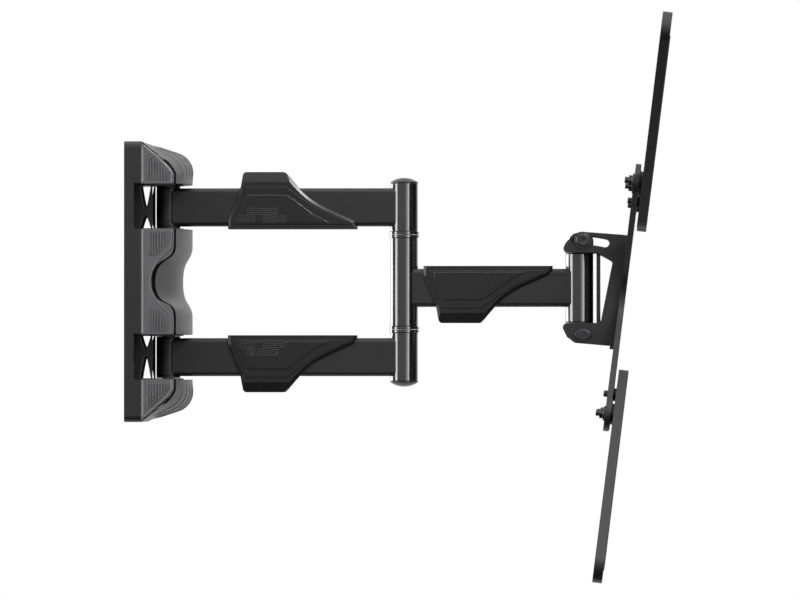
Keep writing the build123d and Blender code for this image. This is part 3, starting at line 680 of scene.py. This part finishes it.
def shown_rays(first):
    """1 for a ray that shows the background directly, in a gloss or through a pane, else 0."""
    kinds = ("Is Camera Ray", "Is Glossy Ray", "Is Transmission Ray")
    rays = [first.node("ShaderNodeLightPath", {}, {}, kind) for kind in kinds]
    return (rays[0] + rays[1] + rays[2]).spread(0, 1)


world = bpy.data.worlds.new("studio")
scene.world = world
world.use_nodes = True
surround = world.node_tree.nodes["Background"]
surround.inputs["Color"].default_value = white
ambient = 0.35
(ambient + (1 - ambient) * shown_rays(Wire(world.node_tree))).feed(surround.inputs["Strength"])


def softbox(name, spot, aim, width, height, power):
    """A rectangular lamp at a spot, turned towards its aim."""
    lamp = bpy.data.lights.new(name, "AREA")
    lamp.shape = "RECTANGLE"
    lamp.size = width
    lamp.size_y = height
    lamp.energy = power
    holder = bpy.data.objects.new(name, lamp)
    scene.collection.objects.link(holder)
    holder.location = spot
    holder.rotation_euler = (Vector(aim) - Vector(spot)).to_track_quat("-Z", "Y").to_euler()


softbox("overhead_softbox", spot=(0.1, -0.3, 2.2), aim=(0.2, 0, 0), width=1.6, height=1.2, power=8.0)
softbox("left_softbox", spot=(-1.3, 0.2, 0.25), aim=(0.2, 0, 0.25), width=2.6, height=1.2, power=42.0)
softbox("brow_softbox", spot=(1.24, -1.11, 1.36), aim=(0.14, 0, 0.08), width=0.34, height=0.34, power=17.0)


def stage_sheet(name, corners, finish):
    """A flat sheet of the studio, which isn't part of the mount."""
    mesh = bpy.data.meshes.new(name)
    mesh.from_pydata(corners, [], [(0, 1, 2, 3)])
    mesh.materials.append(finish)
    sheet = bpy.data.objects.new(name, mesh)
    scene.collection.objects.link(sheet)
    return sheet


def lying(left, right, near, far, height):
    """The corners of a sheet that lies level."""
    return [(left, near, height), (right, near, height), (right, far, height), (left, far, height)]


def standing(left, right, near, far, low, high):
    """The corners of a sheet that stands upright."""
    return [(left, near, low), (right, far, low), (right, far, high), (left, near, high)]


floor_drop = -0.6
floor_reach = 6.0
floor_kept = 0.45
floor_faded = 1.15
floor_lump = 0.5
floor_paint, shader, place = new_finish("pale_floor_paint")
from_middle = place.node("ShaderNodeVectorMath", {"operation": "LENGTH"}, {0: place}, "Value")
floor_rim = from_middle.spread(floor_kept, floor_faded)
floor_pale = mottle(place, floor_lump).between((0.80, 0.80, 0.80, 1), (0.84, 0.84, 0.84, 1))
floor_rim.between(floor_pale, black).feed(shader.inputs["Base Color"])
(floor_rim * shown_rays(place)).between(black, white).feed(shader.inputs["Emission Color"])
shader.inputs["Emission Strength"].default_value = 1.0
shader.inputs["Roughness"].default_value = 0.8
shader.inputs["Specular IOR Level"].default_value = 0.0
stage_sheet("floor", lying(-floor_reach, floor_reach, -floor_reach, floor_reach, floor_drop), floor_paint)

flag_lump = 0.01
flag_cloth, shader, place = new_finish("dark_flag_cloth")
mottle(place, flag_lump).between(grey(0.003), grey(0.006)).feed(shader.inputs["Base Color"])
shader.inputs["Roughness"].default_value = 0.95
shader.inputs["Specular IOR Level"].default_value = 0.0
flags = {
    "right_flag": standing(left=2.6, right=2.6, near=-2.45, far=1.9, low=-1.8, high=1.8),
    "front_flag": standing(left=-6.2, right=4.4, near=-4.5, far=-4.5, low=-2.5, high=2.5),
    "low_flag": lying(left=-1.6, right=2.6, near=-2.4, far=-0.1, height=-0.58),
}
gloss_only = [stage_sheet(name, corners, flag_cloth) for name, corners in flags.items()]

scrim_rise = 0.3
scrim_right = 2.5
scrim_band = (0.55, 1.0)
scrim_band_share = 0.16
scrim_lump = 0.2
scrim_lump_share = 0.02
scrim_cloth, shader, place = new_finish("graduated_scrim_cloth")
shader.inputs["Base Color"].default_value = grey(0.02)
shader.inputs["Emission Strength"].default_value = 5.5
across = place.node("ShaderNodeSeparateXYZ", {}, {"Vector": place}, "X").spread(scrim_rise, scrim_right)
upper_band = place.node("ShaderNodeSeparateXYZ", {}, {"Vector": place}, "Z").spread(*scrim_band)
glow = across * across + scrim_band_share * upper_band + scrim_lump_share * mottle(place, scrim_lump)
glow.between(grey(0.055), grey(1.0)).feed(shader.inputs["Emission Color"])
scrim_corners = standing(left=-3.2, right=scrim_right, near=-2.5, far=-2.5, low=-1.4, high=1.8)
gloss_only.append(stage_sheet("graduated_scrim", scrim_corners, scrim_cloth))
for sheet in gloss_only:
    sheet.visible_camera = False
    sheet.visible_diffuse = False
    sheet.visible_shadow = False

# Camera: a long lens, level with the middle of the mount and about 6.3 m to its side.
# It looks along the wall, a little from the screen's side.
camera_spot = Vector((0.403, -6.3, -0.08))
camera_aim = Vector((0.2147, 0, -0.014))
lens = bpy.data.cameras.new("camera")
lens.lens = 360.0
lens.clip_end = 60.0
camera = bpy.data.objects.new("camera", lens)
scene.collection.objects.link(camera)
camera.location = camera_spot
camera.rotation_euler = (camera_aim - camera_spot).to_track_quat("-Z", "Y").to_euler()
scene.camera = camera
